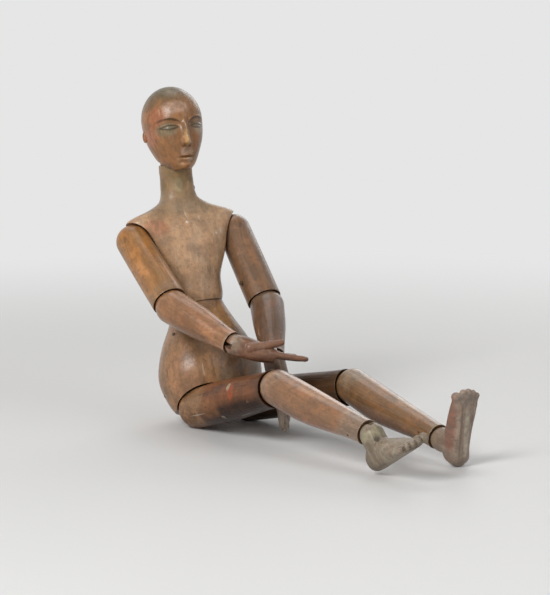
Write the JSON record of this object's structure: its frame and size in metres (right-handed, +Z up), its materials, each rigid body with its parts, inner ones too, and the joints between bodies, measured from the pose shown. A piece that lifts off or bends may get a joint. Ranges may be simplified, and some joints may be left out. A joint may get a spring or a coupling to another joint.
{
  "type": "artist mannequin",
  "caption": "Wooden lay figure for drawing from: carved body, limbs, hands and feet joined by pinned tongue-and-ball joints, sitting with its legs out.",
  "frame": {"origin": "centre of the footprint on the plane it sits on", "axes": "+Z up, -Y the way the figure faces, +X the figure's left"},
  "size_m": [0.0948, 0.278, 0.2041],
  "materials": {
    "carved_wood": "satin, worn patina",
    "tongue_wood": "matt",
    "peg_wood": "satin"
  },
  "bodies": {
    "pelvis": {"pelvis": "carved_wood", "waist_peg": "peg_wood", "right_hip_peg": "peg_wood", "left_hip_peg": "peg_wood"},
    "chest": {"chest": "carved_wood", "waist_pin": "peg_wood", "neck_peg": "peg_wood", "right_shoulder_peg": "peg_wood", "left_shoulder_peg": "peg_wood"},
    "head": {"head": "carved_wood", "neck_pin": "peg_wood"},
    "right_upper_arm": {"right_upper_arm": "carved_wood", "right_shoulder_pin": "peg_wood", "right_elbow_peg": "peg_wood"},
    "right_forearm": {"right_forearm": "carved_wood", "right_elbow_pin": "peg_wood", "right_wrist_peg": "peg_wood"},
    "right_hand": {"right_hand": "carved_wood", "right_wrist_pin": "peg_wood"},
    "right_thigh": {"right_thigh": "carved_wood", "right_hip_pin": "peg_wood", "right_knee_peg": "peg_wood"},
    "right_shin": {"right_shin": "carved_wood", "right_knee_pin": "peg_wood", "right_ankle_peg": "peg_wood"},
    "right_foot": {"right_foot": "carved_wood", "right_ankle_pin": "peg_wood"},
    "left_upper_arm": {"left_upper_arm": "carved_wood", "left_shoulder_pin": "peg_wood", "left_elbow_peg": "peg_wood"},
    "left_forearm": {"left_forearm": "carved_wood", "left_elbow_pin": "peg_wood", "left_wrist_peg": "peg_wood"},
    "left_hand": {"left_hand": "carved_wood", "left_wrist_pin": "peg_wood"},
    "left_thigh": {"left_thigh": "carved_wood", "left_hip_pin": "peg_wood", "left_knee_peg": "peg_wood"},
    "left_shin": {"left_shin": "carved_wood", "left_knee_pin": "peg_wood", "left_ankle_peg": "peg_wood"},
    "left_foot": {"left_foot": "carved_wood", "left_ankle_pin": "peg_wood"},
    "waist_tongue": {"waist_tongue": "tongue_wood"},
    "neck_tongue": {"neck_tongue": "tongue_wood"},
    "right_shoulder_tongue": {"right_shoulder_tongue": "tongue_wood"},
    "right_elbow_tongue": {"right_elbow_tongue": "tongue_wood"},
    "right_wrist_tongue": {"right_wrist_tongue": "tongue_wood"},
    "right_hip_tongue": {"right_hip_tongue": "tongue_wood"},
    "right_knee_tongue": {"right_knee_tongue": "tongue_wood"},
    "right_ankle_tongue": {"right_ankle_tongue": "tongue_wood"},
    "left_shoulder_tongue": {"left_shoulder_tongue": "tongue_wood"},
    "left_elbow_tongue": {"left_elbow_tongue": "tongue_wood"},
    "left_wrist_tongue": {"left_wrist_tongue": "tongue_wood"},
    "left_hip_tongue": {"left_hip_tongue": "tongue_wood"},
    "left_knee_tongue": {"left_knee_tongue": "tongue_wood"},
    "left_ankle_tongue": {"left_ankle_tongue": "tongue_wood"}
  },
  "joints": [
    {"name": "waist_turn", "type": "hinge", "parent": "pelvis", "child": "waist_tongue", "pos_m": [0.00243, 0.09631, 0.07696], "axis": [0, -0.309, -0.9511], "range_deg": [-1, 1]},
    {"name": "waist_bend", "type": "hinge", "parent": "waist_tongue", "child": "chest", "pos_m": [0.00243, 0.09631, 0.07696], "axis": [0.9869, -0.1537, 0.0499], "range_deg": [-20, 2]},
    {"name": "neck_turn", "type": "hinge", "parent": "chest", "child": "neck_tongue", "pos_m": [0.00138, 0.11585, 0.15788], "axis": [0.0391, -0.0728, -0.9966], "range_deg": [-170, 170]},
    {"name": "neck_bend", "type": "hinge", "parent": "neck_tongue", "child": "head", "pos_m": [0.00138, 0.11585, 0.15788], "axis": [0.9735, -0.2221, 0.0544], "range_deg": [-22, 23]},
    {"name": "right_shoulder_turn", "type": "hinge", "parent": "chest", "child": "right_shoulder_tongue", "pos_m": [-0.03231, 0.11315, 0.11039], "axis": [-0.7841, -0.2647, -0.5613], "range_deg": [-2, 150]},
    {"name": "right_shoulder_bend", "type": "hinge", "parent": "right_shoulder_tongue", "child": "right_upper_arm", "pos_m": [-0.03231, 0.11315, 0.11039], "axis": [-0.3794, -0.5113, 0.7711], "range_deg": [-3, 4]},
    {"name": "right_elbow_turn", "type": "hinge", "parent": "right_upper_arm", "child": "right_elbow_tongue", "pos_m": [-0.03709, 0.06441, 0.07572], "axis": [0.0797, 0.8123, 0.5778], "range_deg": [-150, 12]},
    {"name": "right_elbow_bend", "type": "hinge", "parent": "right_elbow_tongue", "child": "right_forearm", "pos_m": [-0.03709, 0.06441, 0.07572], "axis": [0.7335, 0.3448, -0.5858], "range_deg": [-24, 2.5]},
    {"name": "right_wrist_turn", "type": "hinge", "parent": "right_forearm", "child": "right_wrist_tongue", "pos_m": [-0.02791, 0.01522, 0.05827], "axis": [-0.1733, 0.9282, 0.3293], "range_deg": [-150, 26]},
    {"name": "right_wrist_bend", "type": "hinge", "parent": "right_wrist_tongue", "child": "right_hand", "pos_m": [-0.02791, 0.01522, 0.05827], "axis": [0.1006, -0.3159, 0.9434], "range_deg": [-26, 4]},
    {"name": "right_hip_turn", "type": "hinge", "parent": "pelvis", "child": "right_hip_tongue", "pos_m": [-0.01677, 0.06676, 0.01191], "axis": [0, 0.891, 0.454], "range_deg": [-120, 2]},
    {"name": "right_hip_bend", "type": "hinge", "parent": "right_hip_tongue", "child": "right_thigh", "pos_m": [-0.01677, 0.06676, 0.01191], "axis": [0.9959, -0.0411, 0.0808], "range_deg": [-3, 93]},
    {"name": "right_knee_turn", "type": "hinge", "parent": "right_thigh", "child": "right_knee_tongue", "pos_m": [-0.02232, -0.01851, 0.03681], "axis": [-0.0623, -0.958, 0.2798], "range_deg": [-90, 90]},
    {"name": "right_knee_bend", "type": "hinge", "parent": "right_knee_tongue", "child": "right_shin", "pos_m": [-0.02232, -0.01851, 0.03681], "axis": [0.9864, -0.0163, 0.1638], "range_deg": [-30, 19]},
    {"name": "right_ankle_turn", "type": "hinge", "parent": "right_shin", "child": "right_ankle_tongue", "pos_m": [-0.02123, -0.10019, 0.02214], "axis": [-0.0131, 0.9842, 0.1768], "range_deg": [-90, 90]},
    {"name": "right_ankle_bend", "type": "hinge", "parent": "right_ankle_tongue", "child": "right_foot", "pos_m": [-0.02123, -0.10019, 0.02214], "axis": [0.9764, -0.0255, 0.2144], "range_deg": [-77, 10]},
    {"name": "left_shoulder_turn", "type": "hinge", "parent": "chest", "child": "left_shoulder_tongue", "pos_m": [0.03716, 0.10233, 0.11391], "axis": [-0.7182, 0.4987, 0.4853], "range_deg": [-3, 4]},
    {"name": "left_shoulder_bend", "type": "hinge", "parent": "left_shoulder_tongue", "child": "left_upper_arm", "pos_m": [0.03716, 0.10233, 0.11391], "axis": [0.0335, 0.7214, -0.6917], "range_deg": [-0.6, 0.6]},
    {"name": "left_elbow_turn", "type": "hinge", "parent": "left_upper_arm", "child": "left_elbow_tongue", "pos_m": [0.03146, 0.06113, 0.07066], "axis": [0.0951, 0.6867, 0.7207], "range_deg": [-16, 40]},
    {"name": "left_elbow_bend", "type": "hinge", "parent": "left_elbow_tongue", "child": "left_forearm", "pos_m": [0.03146, 0.06113, 0.07066], "axis": [0.4531, -0.6745, 0.5829], "range_deg": [-1, 1]},
    {"name": "left_wrist_turn", "type": "hinge", "parent": "left_forearm", "child": "left_wrist_tongue", "pos_m": [0.00633, 0.02212, 0.04505], "axis": [0.4741, 0.736, 0.4833], "range_deg": [-12, 4]},
    {"name": "left_wrist_bend", "type": "hinge", "parent": "left_wrist_tongue", "child": "left_hand", "pos_m": [0.00633, 0.02212, 0.04505], "axis": [-0.7382, 0.6314, -0.2375], "range_deg": [-3, 5]},
    {"name": "left_hip_turn", "type": "hinge", "parent": "pelvis", "child": "left_hip_tongue", "pos_m": [0.02163, 0.06676, 0.01191], "axis": [0, 0.891, 0.454], "range_deg": [-2, 120]},
    {"name": "left_hip_bend", "type": "hinge", "parent": "left_hip_tongue", "child": "left_thigh", "pos_m": [0.02163, 0.06676, 0.01191], "axis": [0.9781, 0.0944, -0.1853], "range_deg": [-9, 92]},
    {"name": "left_knee_turn", "type": "hinge", "parent": "left_thigh", "child": "left_knee_tongue", "pos_m": [0.03367, -0.01917, 0.03171], "axis": [0.1353, -0.9655, 0.2225], "range_deg": [-90, 90]},
    {"name": "left_knee_bend", "type": "hinge", "parent": "left_knee_tongue", "child": "left_shin", "pos_m": [0.03367, -0.01917, 0.03171], "axis": [0.9342, 0.0495, -0.3534], "range_deg": [-31, 18]},
    {"name": "left_ankle_turn", "type": "hinge", "parent": "left_shin", "child": "left_ankle_tongue", "pos_m": [0.03092, -0.10002, 0.01313], "axis": [0.0331, 0.9741, 0.2238], "range_deg": [-90, 90]},
    {"name": "left_ankle_bend", "type": "hinge", "parent": "left_ankle_tongue", "child": "left_foot", "pos_m": [0.03092, -0.10002, 0.01313], "axis": [0.9979, -0.0446, 0.0466], "range_deg": [-23, 64]}
  ]
}
